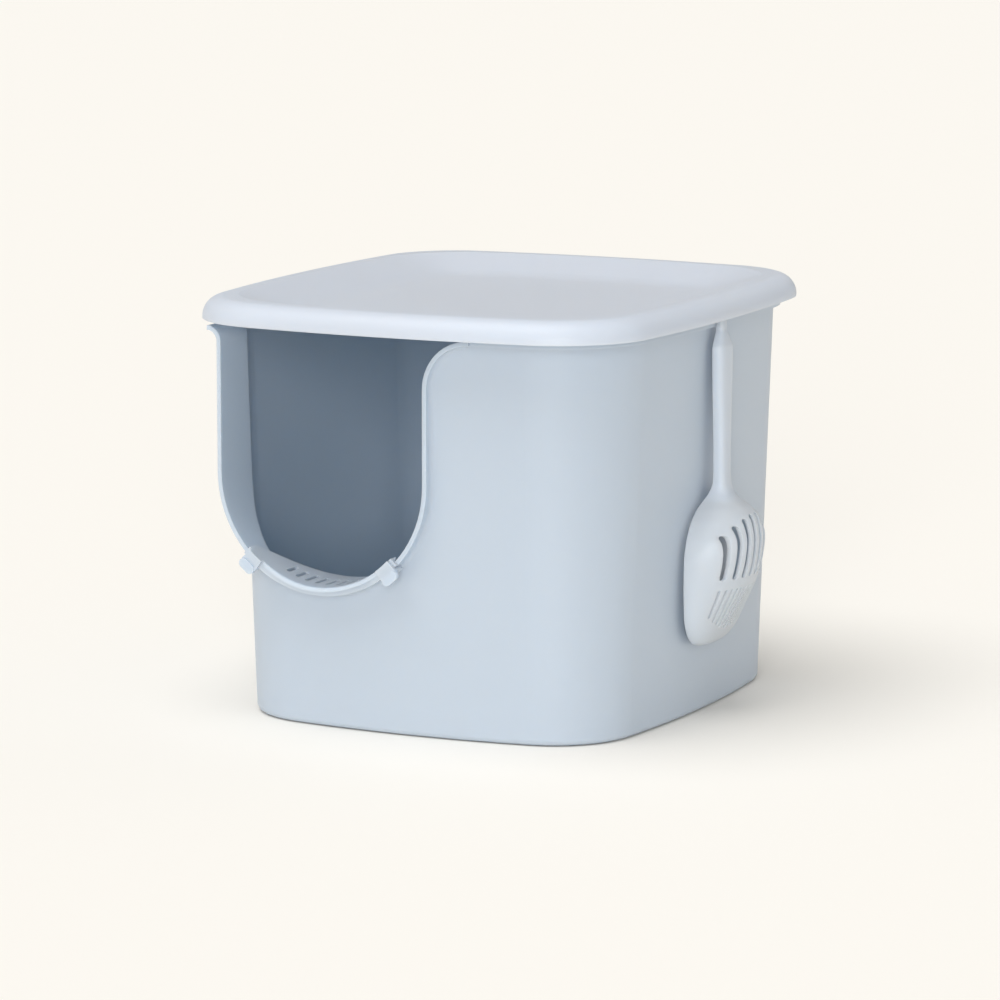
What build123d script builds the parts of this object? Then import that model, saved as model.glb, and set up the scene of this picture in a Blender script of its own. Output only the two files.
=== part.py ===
"""Semi-enclosed litter box: a deep tub with a U-shaped entrance, a dished lift-off lid,
a slotted entry pedal clipped on the entrance lip, and a slotted scoop hung on the rim.
Millimetres, +Z up, +X towards the scoop, -Y towards the entrance. Origin: centre of the base."""
from build123d import *
from math import atan2, cos, degrees, pi, radians, sin, tan
import os

os.makedirs("parts", exist_ok=True)

# Tub
base_width = 394.0
base_depth = 445.0
corner_radius = 82.0
front_bow = 20.0
side_bow = 17.0
wall = 4.0
base_fillet = 6.0
wall_draft = 1.97
rim_top = 366.5
rim_thickness = 4.5
rim_reach = 5.0

# Entrance: a U with a short collar whose front edge is one flat lip
entrance_x = -75.0
entrance_radius = 102.5
entrance_centre_z = 233.0
entrance_flare = 46.0
entrance_left_flare = 14.0
collar_wall = 4.0
collar_fillet = 4.0
crease_fillet = 6.0
collar_length = 100.0
junction_slack = 0.6
junction_back_y = -150.0
junction_low_z = 100.0

# Lid
lid_width = 458.8
lid_depth = 512.6
lid_corner_radius = 92.0
lid_shift_y = -14.3
lid_edge_z = 370.0
lid_roll = 20.5
lid_edge_band = 1.5
lid_wall = 3.5
dish_margin = 27.0
dish_crest_corner = 84.0
dish_slope_width = 55.0
dish_depth = 16.0
dish_floor_radius = 90.0
seat_rib_width = 3.5
skirt_drop = 9.0
skirt_clearance = 3.0
skirt_wall = 3.0
skirt_gap_width = 330.0
skirt_gap_depth = 120.0
seat_inset = 1.5
hook_room = 14.5
hook_notch = 90.0

# Entry pedal
pedal_thickness = 4.0
pedal_clearance = 0.3
pedal_half_angle = 47.0
pedal_length = 56.0
pedal_nose = 9.0
nose_radius = 3.0
apron_wall = 3.0
slot_count = 9
slot_width = 4.0
slot_length = 26.0
slot_pitch_angle = 6.2
slot_middle_y = 22.0
clip_angle = 41.0
clip_span = 9.0
clip_wall = 3.2
clip_grip = 9.0
tab_length = 17.0
tab_width = 9.0
tab_thickness = 4.5
tab_drop = 1.5

# Scoop
scoop_y = -8.0
handle_width = 30.0
handle_thickness = 10.0
handle_top = 342.0
handle_bottom = 205.0
handle_waist = 21.0
neck_width = 13.0
neck_thickness = 6.0
neck_flare = 18.0
hook_clearance = 0.4
hook_thickness = 3.5
hook_drop = 8.0
bowl_wall = 2.6
bowl_plane_gap = 2.2
bowl_edge_radius = 12.0
hollow_edge_radius = 8.0
handle_root = 12.0
wide_slot_count = 8
wide_slot_width = 6.0
wide_slot_pitch = 11.6
wide_slot_top = 191.0
wide_slot_foot = 133.0
slot_arch = 0.0098
fine_slot_count = 13
fine_slot_width = 2.8
fine_slot_pitch = 6.8
fine_slot_top = 124.0
fine_slot_foot = 82.0
fine_arch = 0.009
bowl_outline = (
    (66.0, 34.0),
    (88.0, 57.5),
    (146.0, 56.0),
    (207.0, 24.0),
)
bowl_profile = (
    (66.0, 7.0),
    (127.0, 41.0),
    (160.0, 50.0),
    (194.0, 46.0),
    (207.0, 28.0),
)


def growth(z):
    """Outward growth of the tub's outline from the base up to height z."""
    return z * tan(radians(wall_draft))


lip_y = -(base_depth / 2 + growth(rim_top) + rim_reach)


def outline(width, depth, radius, bow_x, bow_y):
    """Rounded rectangle with bowed sides, centred on the sketch's origin."""
    a = width / 2 - bow_y
    b = depth / 2 - bow_x
    with BuildSketch(mode=Mode.PRIVATE) as shape:
        with BuildLine():
            ThreePointArc((-a, -b), (0, -depth / 2), (a, -b))
            ThreePointArc((a, -b), (width / 2, 0), (a, b))
            ThreePointArc((a, b), (0, depth / 2), (-a, b))
            ThreePointArc((-a, b), (-width / 2, 0), (-a, -b))
        make_face()
        fillet(shape.vertices(), radius)
    return shape.sketch


def tub_outline(grow=0.0):
    """The tub's outline at the base, grown outwards."""
    return outline(
        base_width + 2 * grow, base_depth + 2 * grow, corner_radius + grow, front_bow, side_bow
    )


def lid_outline(inset=0.0, radius=lid_corner_radius):
    """The lid's outline, drawn in by an inset."""
    return outline(lid_width - 2 * inset, lid_depth - 2 * inset, radius, front_bow, side_bow)


def entrance_outline(grow):
    """The U of the entrance on the XZ plane, grown outwards, with flared upper corners."""
    half = entrance_radius + grow
    right_flare = entrance_flare - grow
    left_flare = entrance_left_flare - grow
    right_x = entrance_x + half
    left_x = entrance_x - half
    low = rim_top - grow
    top = rim_top + rim_thickness
    chord = 1 - sin(pi / 4)
    with BuildSketch(Plane.XZ, mode=Mode.PRIVATE) as shape:
        with BuildLine():
            CenterArc((entrance_x, entrance_centre_z), half, 180, 180)
            Line((right_x, entrance_centre_z), (right_x, low - right_flare))
            ThreePointArc(
                (right_x, low - right_flare),
                (right_x + right_flare * chord, low - right_flare * chord),
                (right_x + right_flare, low),
            )
            Polyline(
                (right_x + right_flare, low),
                (right_x + right_flare, top),
                (left_x - left_flare, top),
                (left_x - left_flare, low),
            )
            ThreePointArc(
                (left_x - left_flare, low),
                (left_x - left_flare * chord, low - left_flare * chord),
                (left_x, low - left_flare),
            )
            Line((left_x, low - left_flare), (left_x, entrance_centre_z))
        make_face()
    return shape.sketch


def meets_wall(edge, half):
    """Whether an edge is where the entrance's face at this half-width meets the front wall."""
    point = edge @ 0.5
    reach = Vector(point.X - entrance_x, min(point.Z - entrance_centre_z, 0)).length
    behind_lip = lip_y + 1 < point.Y < junction_back_y
    return behind_lip and point.Z > junction_low_z and abs(reach - half) < junction_slack


with BuildPart() as tub:
    with BuildSketch():
        add(tub_outline())
    extrude(amount=rim_top, taper=-wall_draft)
    fillet(tub.faces().sort_by(Axis.Z)[0].edges(), base_fillet)
    with BuildSketch(Plane.XY.offset(rim_top - rim_thickness)):
        add(tub_outline(growth(rim_top) + rim_reach))
    extrude(amount=rim_thickness)
    with BuildSketch(Plane.XZ.offset(-lip_y)):
        add(entrance_outline(collar_wall))
    extrude(amount=-collar_length)
    with BuildSketch(Plane.XY.offset(rim_top)):
        add(tub_outline(growth(rim_top) + collar_length))
    extrude(amount=collar_wall + rim_thickness, mode=Mode.SUBTRACT)
    with BuildSketch(Plane.XY.offset(wall)):
        add(tub_outline(growth(wall) - wall))
    extrude(amount=rim_top, taper=-wall_draft, mode=Mode.SUBTRACT)
    with BuildSketch(Plane.XZ.offset(-lip_y + rim_reach)):
        add(entrance_outline(0))
    extrude(amount=-base_depth / 2, mode=Mode.SUBTRACT)
    fillet(
        [e for e in tub.edges() if meets_wall(e, entrance_radius + collar_wall)], collar_fillet
    )
    fillet([e for e in tub.edges() if meets_wall(e, entrance_radius)], crease_fillet)
tub.part.label = "tub"
export_step(tub.part, "parts/tub.step")


def lid_plane(z):
    """The lid's sketch plane at height z; the lid overhangs the front more than the back."""
    return Plane((0, lid_shift_y, z))


def lid_form(inset):
    """The lid's solid form with its dish; with an inset, the hollow of its underside."""
    roll = lid_roll - lid_edge_band - inset
    crest = lid_edge_z + lid_roll
    margin = dish_margin - inset
    slope = degrees(atan2(dish_slope_width, dish_depth))
    with BuildPart(mode=Mode.PRIVATE) as bowl:
        with BuildSketch(lid_plane(crest - inset)):
            add(lid_outline(margin, dish_crest_corner + inset))
        extrude(amount=-dish_depth, taper=slope)
        fillet(bowl.faces().sort_by(Axis.Z)[0].edges(), dish_floor_radius)
        with BuildSketch(lid_plane(crest - inset)):
            add(lid_outline(margin, dish_crest_corner + inset))
        extrude(amount=lid_roll)
    with BuildPart(mode=Mode.PRIVATE) as form:
        with BuildSketch(lid_plane(lid_edge_z)):
            add(lid_outline(inset, lid_corner_radius - inset))
        extrude(amount=lid_roll - inset)
        fillet(form.faces().sort_by(Axis.Z)[-1].edges(), roll)
        add(bowl.part, mode=Mode.SUBTRACT)
    return form.part


def rim_ring(inner, outer, low):
    """A wall that follows the tub's rim, from height low up into the lid."""
    with BuildPart(mode=Mode.PRIVATE) as ring:
        with BuildSketch(Plane.XY.offset(low)):
            add(tub_outline(outer))
            add(tub_outline(inner), mode=Mode.SUBTRACT)
        extrude(amount=lid_edge_z + lid_roll - low)
    return ring.part


rim_inner = growth(rim_top) - wall
skirt_outer = rim_inner - skirt_clearance
lid_solid = lid_form(0)
with BuildPart() as below_lid:
    add(lid_solid)
    with BuildSketch(lid_plane(lid_edge_z)):
        add(lid_outline())
    extrude(amount=-lid_roll)

with BuildPart() as skirt:
    add(rim_ring(skirt_outer - skirt_wall, skirt_outer, rim_top - skirt_drop))
    with BuildSketch(Plane.XY.offset(rim_top - skirt_drop)):
        with Locations((entrance_x, lip_y)):
            Rectangle(skirt_gap_width, skirt_gap_depth)
        with Locations((base_width / 2, scoop_y)):
            Rectangle(skirt_gap_depth, hook_notch)
    extrude(amount=skirt_drop + hook_room, mode=Mode.SUBTRACT)

with BuildPart() as seat:
    add(rim_ring(rim_inner + seat_inset, rim_inner + seat_inset + seat_rib_width, rim_top))
    with BuildSketch(Plane.XY.offset(rim_top)):
        with Locations((base_width / 2, scoop_y)):
            Rectangle(skirt_gap_depth, hook_notch)
    extrude(amount=hook_room, mode=Mode.SUBTRACT)

with BuildPart() as lid:
    add(lid_solid)
    add(lid_form(lid_wall), mode=Mode.SUBTRACT)
    add(skirt.part & below_lid.part)
    add(seat.part & below_lid.part)
lid.part.label = "lid"
export_step(lid.part, "parts/lid.step")


def tread_plan(front, rear, half):
    """The pedal's plan: a lens whose front and rear edges bulge about the lip."""
    with BuildSketch(mode=Mode.PRIVATE) as shape:
        with BuildLine():
            ThreePointArc(
                (entrance_x - half, lip_y), (entrance_x, lip_y + rear), (entrance_x + half, lip_y)
            )
            ThreePointArc(
                (entrance_x + half, lip_y), (entrance_x, lip_y - front), (entrance_x - half, lip_y)
            )
        make_face()
    return shape.sketch


def ring_sector(inner, outer, half_angle):
    """A sector of the ring about the entrance's lower arc, on the lip's plane."""
    with BuildSketch(Plane.XZ, mode=Mode.PRIVATE) as shape:
        with BuildLine():
            low = CenterArc(
                (entrance_x, entrance_centre_z), outer, 270 - half_angle, 2 * half_angle
            )
            high = CenterArc(
                (entrance_x, entrance_centre_z), inner, 270 - half_angle, 2 * half_angle
            )
            Line(low @ 0, high @ 0)
            Line(low @ 1, high @ 1)
        make_face()
    return shape.sketch


tread_outer = entrance_radius - pedal_clearance
tread_inner = tread_outer - pedal_thickness
tread_half = tread_outer * sin(radians(pedal_half_angle))
lip_outer = entrance_radius + collar_wall
apron_back = lip_y - pedal_clearance

def on_nose(edge):
    """Whether an edge is the pedal's upper front edge."""
    point = edge @ 0.5
    reach = Vector(point.X - entrance_x, point.Z - entrance_centre_z).length
    return point.Y < lip_y - pedal_nose / 2 and abs(reach - tread_inner) < junction_slack


with BuildPart() as entry_pedal:
    with BuildSketch(Plane.XZ.offset(-lip_y + pedal_nose)):
        add(ring_sector(tread_inner, tread_outer, pedal_half_angle))
    extrude(amount=-(pedal_nose + pedal_length))
    with BuildSketch(Plane.XY.offset(0)):
        add(tread_plan(pedal_nose, pedal_length, tread_half))
    extrude(amount=entrance_centre_z, mode=Mode.INTERSECT)
    with BuildSketch(Plane.XZ.offset(-apron_back)):
        add(ring_sector(tread_inner, lip_outer, pedal_half_angle))
    extrude(amount=apron_wall)
    nose_edges = [e for e in entry_pedal.edges() if on_nose(e)]
    fillet(nose_edges, nose_radius)
    for index in range(slot_count):
        angle = slot_pitch_angle * (index - (slot_count - 1) / 2)
        middle = Plane(
            origin=(
                entrance_x + tread_inner * sin(radians(angle)),
                lip_y + slot_middle_y,
                entrance_centre_z - tread_inner * cos(radians(angle)),
            ),
            x_dir=(0, 1, 0),
            z_dir=(-sin(radians(angle)), 0, cos(radians(angle))),
        )
        with BuildSketch(middle):
            SlotOverall(slot_length * cos(radians(1.6 * angle)), slot_width)
        extrude(amount=pedal_thickness, both=True, mode=Mode.SUBTRACT)
entry_pedal.part.label = "entry_pedal"
export_step(entry_pedal.part, "parts/entry_pedal.step")


def clip(side):
    """A clip that holds the lip between a jaw above and a tab below it."""
    start = side * clip_angle + 270 - clip_span / 2
    centre = (entrance_x, entrance_centre_z)
    below = lip_outer + pedal_clearance
    front = apron_back - apron_wall - pedal_clearance
    with BuildPart() as jaw:
        with BuildSketch(Plane.XZ.offset(-front)):
            with BuildLine():
                low = CenterArc(centre, below + clip_wall, start, clip_span)
                high = CenterArc(centre, tread_inner, start, clip_span)
                Line(low @ 0, high @ 0)
                Line(low @ 1, high @ 1)
            make_face()
        extrude(amount=clip_wall)
        with BuildSketch(Plane.XZ.offset(-front)):
            with BuildLine():
                low = CenterArc(centre, below + clip_wall, start, clip_span)
                high = CenterArc(centre, below, start, clip_span)
                Line(low @ 0, high @ 0)
                Line(low @ 1, high @ 1)
            make_face()
        extrude(amount=-(clip_grip + apron_wall))
        tab_angle = side * clip_angle
        tab_radius = below + clip_wall + tab_drop
        tab_plane = Plane(
            origin=(
                entrance_x + tab_radius * sin(radians(tab_angle)),
                front,
                entrance_centre_z - tab_radius * cos(radians(tab_angle)),
            ),
            x_dir=(cos(radians(tab_angle)), 0, sin(radians(tab_angle))),
            z_dir=(0, -1, 0),
        )
        with BuildSketch(tab_plane):
            SlotOverall(tab_length, tab_width)
        extrude(amount=tab_thickness)
    return jaw.part


pedal_clip_left = clip(-1)
pedal_clip_left.label = "pedal_clip_left"
export_step(pedal_clip_left, "parts/pedal_clip_left.step")
pedal_clip_right = clip(1)
pedal_clip_right.label = "pedal_clip_right"
export_step(pedal_clip_right, "parts/pedal_clip_right.step")

rim_edge_x = base_width / 2 + growth(rim_top) + rim_reach
hook_tip_x = base_width / 2 + growth(rim_top) - wall - hook_clearance
neck_x = rim_edge_x + hook_clearance
bowl_x = base_width / 2 + growth(handle_bottom) + bowl_plane_gap


def bowl_solid(inset, back, edge_radius):
    """The bowl's outer form, or with an inset its hollow: a front outline met by a side profile."""
    sides = [(scoop_y + half, z) for z, half in bowl_outline]
    sides += [(scoop_y - half, z) for z, half in reversed(bowl_outline)]
    rear_x = bowl_x - handle_width
    depths = [(bowl_x + depth, z) for z, depth in bowl_profile]
    depths = [(rear_x, bowl_profile[0][0])] + depths + [(rear_x, bowl_profile[-1][0])]
    with BuildPart(mode=Mode.PRIVATE) as shape:
        with BuildSketch(Plane.YZ.offset(bowl_x - back)):
            with BuildLine():
                Polyline(*sides, close=True)
            make_face()
            offset(amount=-inset)
        extrude(amount=2 * handle_width + back)
        with BuildSketch(Plane.XZ.offset(-scoop_y - 3 * handle_width)):
            with BuildLine():
                Polyline(*depths, close=True)
            make_face()
            offset(amount=-inset)
        extrude(amount=6 * handle_width, mode=Mode.INTERSECT)
        off_back = [e for e in shape.edges() if min((e @ 0).X, (e @ 1).X) > bowl_x + bowl_wall / 2]
        sides_only = [e for e in off_back if abs((e @ 0.5).Y - scoop_y) > handle_width / 2]
        fillet(sides_only, edge_radius)
    return shape.part


with BuildPart() as scoop:
    add(bowl_solid(0, 0, bowl_edge_radius))
    add(bowl_solid(bowl_wall, 1, hollow_edge_radius), mode=Mode.SUBTRACT)
    with BuildSketch(Plane.YZ.offset(neck_x)):
        with BuildLine():
            Polyline(
                (scoop_y - handle_width / 2, handle_top),
                (scoop_y - neck_width / 2, handle_top + neck_flare),
                (scoop_y - neck_width / 2, rim_top + hook_thickness),
                (scoop_y + neck_width / 2, rim_top + hook_thickness),
                (scoop_y + neck_width / 2, handle_top + neck_flare),
                (scoop_y + handle_width / 2, handle_top),
                (scoop_y + handle_waist / 2, handle_bottom),
                (scoop_y + handle_waist / 2, handle_bottom - handle_root),
                (scoop_y - handle_waist / 2, handle_bottom - handle_root),
                (scoop_y - handle_waist / 2, handle_bottom),
                close=True,
            )
        make_face()
    extrude(amount=handle_thickness)
    with BuildSketch(Plane.XZ.offset(-scoop_y + handle_width)):
        with BuildLine():
            Polyline(
                (neck_x + neck_thickness, rim_top + hook_thickness),
                (neck_x + neck_thickness, handle_top + neck_flare),
                (neck_x + handle_thickness, handle_top),
                (neck_x + 2 * handle_thickness, handle_top),
                (neck_x + 2 * handle_thickness, rim_top + hook_thickness),
                close=True,
            )
        make_face()
    extrude(amount=-2 * handle_width, mode=Mode.SUBTRACT)
    with BuildSketch(Plane.XZ.offset(-scoop_y + neck_width / 2)):
        with BuildLine():
            Polyline(
                (neck_x + neck_thickness, rim_top),
                (neck_x + neck_thickness, rim_top + hook_thickness),
                (hook_tip_x - hook_thickness, rim_top + hook_thickness),
                (hook_tip_x - hook_thickness, rim_top - hook_drop),
                (hook_tip_x, rim_top - hook_drop),
                (hook_tip_x, rim_top),
                close=True,
            )
        make_face()
    extrude(amount=-neck_width)
    add(bowl_solid(bowl_wall, 1, hollow_edge_radius), mode=Mode.SUBTRACT)
    for index in range(wide_slot_count):
        offset_y = wide_slot_pitch * (index - (wide_slot_count - 1) / 2)
        top = wide_slot_top - slot_arch * offset_y**2
        with BuildSketch(Plane.YZ.offset(bowl_x)):
            with Locations((scoop_y + offset_y, (top + wide_slot_foot) / 2)):
                SlotOverall(top - wide_slot_foot, wide_slot_width, rotation=90)
        extrude(amount=2 * handle_width, mode=Mode.SUBTRACT)
    for index in range(fine_slot_count):
        offset_y = fine_slot_pitch * (index - (fine_slot_count - 1) / 2)
        foot = fine_slot_foot + fine_arch * offset_y**2
        with BuildSketch(Plane.YZ.offset(bowl_x)):
            with Locations((scoop_y + offset_y, (fine_slot_top + foot) / 2)):
                SlotOverall(fine_slot_top - foot, fine_slot_width, rotation=90)
        extrude(amount=2 * handle_width, mode=Mode.SUBTRACT)
scoop.part.label = "scoop"
export_step(scoop.part, "parts/scoop.step")
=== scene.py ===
"""Looks for the semi-enclosed litter box: moulded plastic finishes, camera, floor and studio light."""
import math

import bpy
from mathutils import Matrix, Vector


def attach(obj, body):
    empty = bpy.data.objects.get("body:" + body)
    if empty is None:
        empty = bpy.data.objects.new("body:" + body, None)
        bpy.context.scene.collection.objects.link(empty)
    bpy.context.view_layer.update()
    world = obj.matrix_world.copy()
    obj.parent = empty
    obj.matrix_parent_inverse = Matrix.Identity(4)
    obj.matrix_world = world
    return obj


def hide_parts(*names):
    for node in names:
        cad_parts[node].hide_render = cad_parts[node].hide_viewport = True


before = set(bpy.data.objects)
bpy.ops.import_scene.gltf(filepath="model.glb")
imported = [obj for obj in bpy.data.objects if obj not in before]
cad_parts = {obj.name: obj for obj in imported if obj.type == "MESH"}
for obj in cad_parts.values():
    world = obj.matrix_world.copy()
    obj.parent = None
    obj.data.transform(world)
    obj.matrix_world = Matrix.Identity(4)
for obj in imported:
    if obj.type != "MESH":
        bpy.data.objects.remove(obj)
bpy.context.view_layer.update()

# Camera, fitted to the outlines in the photograph
CAMERA_TARGET = Vector((-0.00955, -0.00465, 0.1838))
CAMERA_AZIMUTH = math.radians(25.96)
CAMERA_ELEVATION = math.radians(9.37)
CAMERA_DISTANCE = 4.69956
CAMERA_LENS = 179.81
SENSOR = 36.0

# Colours of the moulded plastic, linear
TUB_COLOUR = (0.495, 0.565, 0.655)
LID_COLOUR = (0.565, 0.61, 0.69)
PEDAL_COLOUR = (0.51, 0.58, 0.67)
SCOOP_COLOUR = (0.565, 0.62, 0.69)

# Scoop, in millimetres: height, half-width, back, depth, squareness of the rounded section
SCOOP_Y = -8.0
SCOOP_WALL = 2.6
SCOOP_SECTIONS = (
    (66.0, 8.0, 206.3, 3.0, 2.4),
    (67.5, 24.0, 206.3, 6.0, 2.4),
    (72.0, 38.0, 206.3, 11.0, 2.5),
    (82.0, 49.0, 206.3, 18.0, 2.3),
    (98.0, 55.5, 206.3, 27.0, 2.1),
    (127.0, 57.2, 206.3, 41.5, 2.1),
    (150.0, 56.5, 206.3, 48.0, 2.2),
    (168.0, 52.0, 206.3, 49.5, 2.4),
    (184.0, 42.0, 206.3, 47.0, 2.3),
    (195.0, 30.0, 207.0, 38.0, 2.4),
    (202.0, 20.5, 209.0, 27.0, 2.6),
    (209.0, 13.8, 212.0, 17.0, 3.0),
    (218.0, 11.0, 214.6, 11.5, 3.6),
    (230.0, 10.6, 215.0, 10.0, 4.0),
    (342.0, 15.0, 215.0, 10.0, 4.0),
    (352.0, 10.5, 215.0, 8.0, 4.0),
    (360.0, 6.5, 215.0, 6.0, 4.0),
    (370.0, 6.5, 215.0, 6.0, 4.0),
)
SECTION_STEPS = 6
RING_FRONT = 40
RING_BACK = 8
HOLLOW_LOW = 70.0
HOLLOW_HIGH = 201.0
HOOK_BOXES = (
    ((201.7, -14.5, 366.5), (219.0, -1.5, 370.0)),
    ((201.7, -14.5, 358.5), (205.2, -1.5, 367.0)),
)
# Slots: count, width, pitch, top, foot, how much the top and the foot bend with distance
WIDE_SLOTS = (8, 6.0, 11.6, 191.0, 133.0, -0.0098, 0.0)
FINE_SLOTS = (13, 2.8, 6.8, 124.0, 82.0, 0.0, 0.009)
SLOT_FROM_X = 209.0
SLOT_TO_X = 262.0
SLOT_END_STEPS = 8
HOLLOW_BACK = 3.0
SHARP_ANGLE = math.radians(38.0)

# Plastic's gloss and translucency
PLASTIC_SPECULAR = 0.42
SCATTER_WEIGHT = 0.55
SCATTER_RADIUS = (0.75, 0.88, 1.0)
SCATTER_SCALE = 0.012
TINT_SPREAD = 0.015
GLOSS_SPREAD = 0.04

# Floor and studio light
FLOOR_COLOUR = (0.93, 0.905, 0.855)
FLOOR_SIZE = 30.0
FLOOR_DROP = 0.0005
SKY_COLOUR = (1.0, 0.985, 0.96, 1.0)
SKY_STRENGTH = 0.46
KEY_LIGHT = ("key", (-0.15, -0.30, 1.0), math.radians(50.0), 1.7)
FILL_LIGHT = ("fill", (0.37, -0.93, 0.2), math.radians(25.0), 1.4)


def in_metres(x, y, z):
    """A point in millimetres as one in metres."""
    return (x / 1000, y / 1000, z / 1000)


def aim(obj, target):
    """Turns a camera or light so that it looks at a point."""
    obj.rotation_euler = (Vector(target) - obj.location).to_track_quat("-Z", "Y").to_euler()


def make_camera():
    data = bpy.data.cameras.new("camera")
    data.lens = CAMERA_LENS
    data.sensor_width = SENSOR
    data.clip_end = 50.0
    camera = bpy.data.objects.new("camera", data)
    bpy.context.scene.collection.objects.link(camera)
    flat = math.cos(CAMERA_ELEVATION)
    back = Vector(
        (
            math.sin(CAMERA_AZIMUTH) * flat,
            -math.cos(CAMERA_AZIMUTH) * flat,
            math.sin(CAMERA_ELEVATION),
        )
    )
    camera.location = CAMERA_TARGET + back * CAMERA_DISTANCE
    aim(camera, CAMERA_TARGET)
    bpy.context.scene.camera = camera


def sun_light(name, location, spread, power):
    """A wide soft light whose strength is the same near and far."""
    data = bpy.data.lights.new(name, "SUN")
    data.angle = spread
    data.energy = power
    light = bpy.data.objects.new(name, data)
    bpy.context.scene.collection.objects.link(light)
    light.location = location
    aim(light, (0.0, 0.0, 0.0))


def plastic(name, colour, roughness=0.42, grain=0.06, grain_scale=900.0):
    """Satin moulded plastic: slightly translucent, with a fine grain and faintly uneven gloss."""
    material = bpy.data.materials.new(name)
    material.use_nodes = True
    nodes = material.node_tree.nodes
    links = material.node_tree.links
    shader = nodes["Principled BSDF"]
    shader.inputs["Specular IOR Level"].default_value = PLASTIC_SPECULAR
    shader.inputs["Subsurface Weight"].default_value = SCATTER_WEIGHT
    shader.inputs["Subsurface Radius"].default_value = SCATTER_RADIUS
    shader.inputs["Subsurface Scale"].default_value = SCATTER_SCALE
    place = nodes.new("ShaderNodeTexCoord")
    clouds = nodes.new("ShaderNodeTexNoise")
    clouds.inputs["Scale"].default_value = 7.0
    clouds.inputs["Detail"].default_value = 3.0
    links.new(place.outputs["Object"], clouds.inputs["Vector"])
    tint = nodes.new("ShaderNodeMix")
    tint.data_type = "RGBA"
    tint.inputs["A"].default_value = (*[c * (1 - TINT_SPREAD) for c in colour], 1.0)
    tint.inputs["B"].default_value = (*[c * (1 + TINT_SPREAD) for c in colour], 1.0)
    links.new(clouds.outputs["Fac"], tint.inputs["Factor"])
    links.new(tint.outputs["Result"], shader.inputs["Base Color"])
    gloss = nodes.new("ShaderNodeMapRange")
    gloss.inputs["To Min"].default_value = roughness - GLOSS_SPREAD
    gloss.inputs["To Max"].default_value = roughness + GLOSS_SPREAD
    links.new(clouds.outputs["Fac"], gloss.inputs["Value"])
    links.new(gloss.outputs["Result"], shader.inputs["Roughness"])
    fine = nodes.new("ShaderNodeTexNoise")
    fine.inputs["Scale"].default_value = grain_scale
    fine.inputs["Detail"].default_value = 2.0
    links.new(place.outputs["Object"], fine.inputs["Vector"])
    bump = nodes.new("ShaderNodeBump")
    bump.inputs["Strength"].default_value = grain
    bump.inputs["Distance"].default_value = 0.0004
    links.new(fine.outputs["Fac"], bump.inputs["Height"])
    links.new(bump.outputs["Normal"], shader.inputs["Normal"])
    return material


def give(node, material):
    """Puts a material on every slot of a CAD node."""
    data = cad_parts[node].data
    if not data.materials:
        data.materials.append(material)
    for index in range(len(data.materials)):
        data.materials[index] = material


def smooth_value(column, z):
    """A column of the scoop's sections at height z, on a curve that never overshoots its keys."""
    keys = [(row[0], row[column]) for row in SCOOP_SECTIONS]
    last = len(keys) - 2
    low = max(i for i in range(last + 1) if keys[i][0] <= z or i == 0)

    def slope(i):
        if i == 0 or i == len(keys) - 1:
            a = keys[min(i, last)]
            b = keys[min(i, last) + 1]
            return (b[1] - a[1]) / (b[0] - a[0])
        before = (keys[i][1] - keys[i - 1][1]) / (keys[i][0] - keys[i - 1][0])
        after = (keys[i + 1][1] - keys[i][1]) / (keys[i + 1][0] - keys[i][0])
        return 0.0 if before * after <= 0 else 2.0 * before * after / (before + after)

    step = keys[low + 1][0] - keys[low][0]
    t = (z - keys[low][0]) / step
    h00 = 2 * t**3 - 3 * t**2 + 1
    h10 = t**3 - 2 * t**2 + t
    h01 = 3 * t**2 - 2 * t**3
    h11 = t**3 - t**2
    return (
        h00 * keys[low][1]
        + h10 * step * slope(low)
        + h01 * keys[low + 1][1]
        + h11 * step * slope(low + 1)
    )


def scoop_ring(z, inset, back):
    """One closed section: a flat back and a rounded front, in metres."""
    half = smooth_value(1, z) - inset
    rear = smooth_value(2, z) - back
    depth = smooth_value(3, z) - inset + back
    power = 2.0 / smooth_value(4, z)
    points = []
    for i in range(RING_FRONT + 1):
        angle = math.pi * (i / RING_FRONT - 0.5)
        side = math.copysign(abs(math.sin(angle)) ** power, angle)
        points.append((rear + depth * max(math.cos(angle), 0.0) ** power, SCOOP_Y + half * side))
    for i in range(1, RING_BACK):
        points.append((rear, SCOOP_Y + half * (1 - 2 * i / RING_BACK)))
    return [in_metres(x, y, z) for x, y in points]


def loft_mesh(name, rings):
    """A closed skin through rings that have the same number of points."""
    count = len(rings[0])
    vertices = [point for ring in rings for point in ring]
    faces = [tuple(range(count - 1, -1, -1))]
    for row in range(len(rings) - 1):
        for i in range(count):
            j = (i + 1) % count
            faces.append(
                (row * count + i, row * count + j, (row + 1) * count + j, (row + 1) * count + i)
            )
    faces.append(tuple((len(rings) - 1) * count + i for i in range(count)))
    return link_mesh(name, vertices, faces)


def link_mesh(name, vertices, faces):
    mesh = bpy.data.meshes.new(name)
    mesh.from_pydata(vertices, [], faces)
    mesh.update()
    obj = bpy.data.objects.new(name, mesh)
    bpy.context.scene.collection.objects.link(obj)
    return obj


def slot_rings(y, low, high, width):
    """A round-ended slot as two rings, one each side of the bowl's front."""
    radius = width / 2
    outline = []
    for centre, start in ((high - radius, 0), (low + radius, 1)):
        for i in range(SLOT_END_STEPS + 1):
            angle = math.pi * (start + i / SLOT_END_STEPS)
            outline.append((y + radius * math.cos(angle), centre + radius * math.sin(angle)))
    return [[in_metres(x, a, b) for a, b in outline] for x in (SLOT_FROM_X, SLOT_TO_X)]


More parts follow.
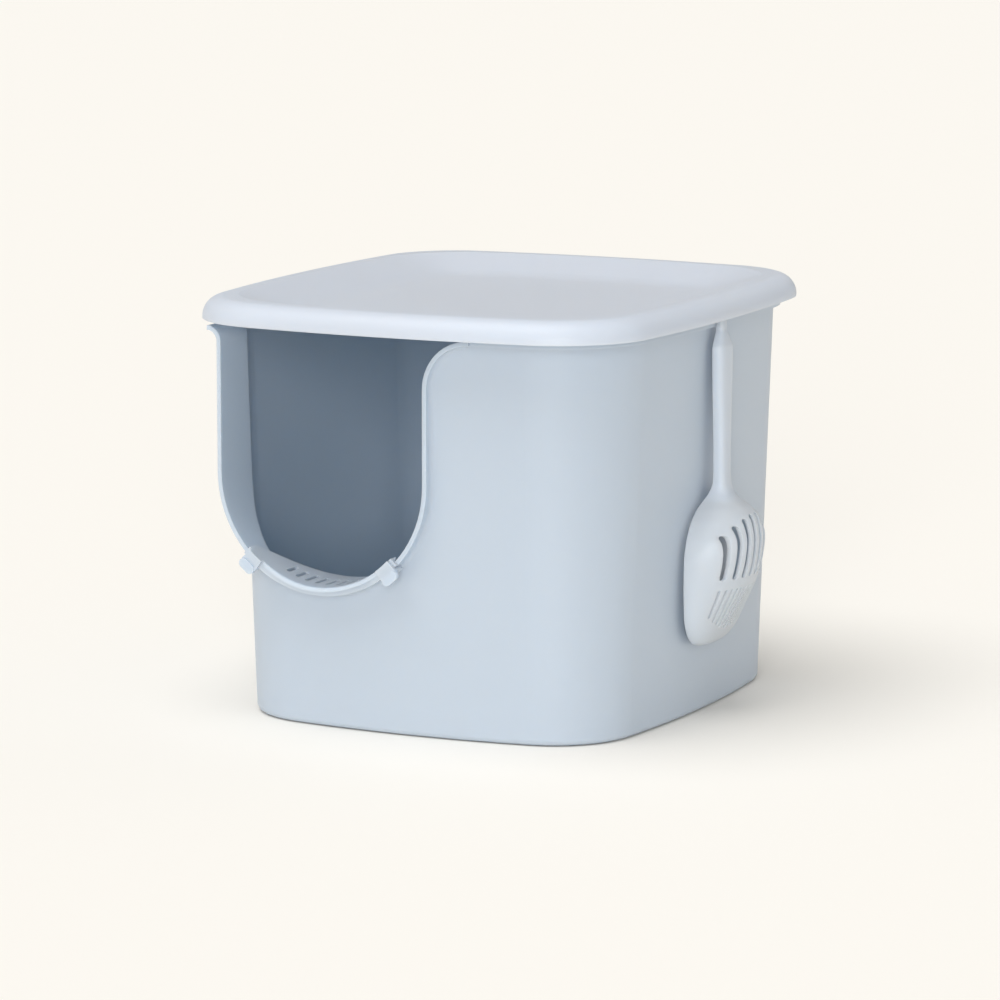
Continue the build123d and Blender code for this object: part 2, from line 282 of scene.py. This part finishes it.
def cut(obj, tool):
    """Takes a tool's volume out of an object and removes the tool."""
    modifier = obj.modifiers.new("cut", "BOOLEAN")
    modifier.operation = "DIFFERENCE"
    modifier.solver = "EXACT"
    modifier.object = tool
    settled = obj.evaluated_get(bpy.context.evaluated_depsgraph_get())
    mesh = bpy.data.meshes.new_from_object(settled)
    obj.modifiers.clear()
    obj.data = mesh
    bpy.data.objects.remove(tool)


def make_scoop(material):
    """The scoop's smooth skin over the CAD solid, with the same height, width, depth and slots."""
    heights = []
    for a, b in zip(SCOOP_SECTIONS, SCOOP_SECTIONS[1:]):
        heights += [a[0] + (b[0] - a[0]) * i / SECTION_STEPS for i in range(SECTION_STEPS)]
    heights.append(SCOOP_SECTIONS[-1][0])
    skin = loft_mesh("scoop_skin", [scoop_ring(z, 0.0, 0.0) for z in heights])
    inside = [HOLLOW_LOW] + [z for z in heights if HOLLOW_LOW < z < HOLLOW_HIGH] + [HOLLOW_HIGH]
    cut(skin, loft_mesh("hollow", [scoop_ring(z, SCOOP_WALL, HOLLOW_BACK) for z in inside]))
    for count, width, pitch, top, foot, top_bend, foot_bend in (WIDE_SLOTS, FINE_SLOTS):
        for index in range(count):
            y = pitch * (index - (count - 1) / 2)
            low = foot + foot_bend * y**2
            high = top + top_bend * y**2
            cut(skin, loft_mesh("slot", slot_rings(SCOOP_Y + y, low, high, width)))
    skin.data.materials.clear()
    skin.data.materials.append(material)
    skin.data.polygons.foreach_set("use_smooth", [True] * len(skin.data.polygons))
    skin.data.set_sharp_from_angle(angle=SHARP_ANGLE)
    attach(skin, "scoop")
    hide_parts("scoop")
    for index, (low, high) in enumerate(HOOK_BOXES):
        corners = (
            (low[0], low[1]),
            (high[0], low[1]),
            (high[0], high[1]),
            (low[0], high[1]),
        )
        rings = [[in_metres(x, y, z) for x, y in corners] for z in (low[2], high[2])]
        hook = loft_mesh(f"scoop_hook_{index}", rings)
        hook.data.materials.append(material)
        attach(hook, "scoop")


def flat_material(name, colour, roughness):
    material = bpy.data.materials.new(name)
    material.use_nodes = True
    shader = material.node_tree.nodes["Principled BSDF"]
    shader.inputs["Base Color"].default_value = (*colour, 1.0)
    shader.inputs["Roughness"].default_value = roughness
    shader.inputs["Specular IOR Level"].default_value = 0.1
    return material


def make_floor():
    bpy.ops.mesh.primitive_plane_add(size=FLOOR_SIZE, location=(0.0, 0.0, -FLOOR_DROP))
    floor = bpy.context.object
    floor.name = "floor"
    floor.data.materials.append(flat_material("floor", FLOOR_COLOUR, 0.9))


def make_light():
    world = bpy.data.worlds.new("studio")
    world.use_nodes = True
    background = world.node_tree.nodes["Background"]
    background.inputs["Color"].default_value = SKY_COLOUR
    background.inputs["Strength"].default_value = SKY_STRENGTH
    bpy.context.scene.world = world
    sun_light(*KEY_LIGHT)
    sun_light(*FILL_LIGHT)
    bpy.context.scene.view_settings.view_transform = "Standard"


make_camera()
make_floor()
make_light()
give("tub", plastic("tub_plastic", TUB_COLOUR))
give("lid", plastic("lid_plastic", LID_COLOUR))
pedal_material = plastic("pedal_plastic", PEDAL_COLOUR)
for part in ("entry_pedal", "pedal_clip_left", "pedal_clip_right"):
    give(part, pedal_material)
scoop_material = plastic("scoop_plastic", SCOOP_COLOUR)
give("scoop", scoop_material)
make_scoop(scoop_material)
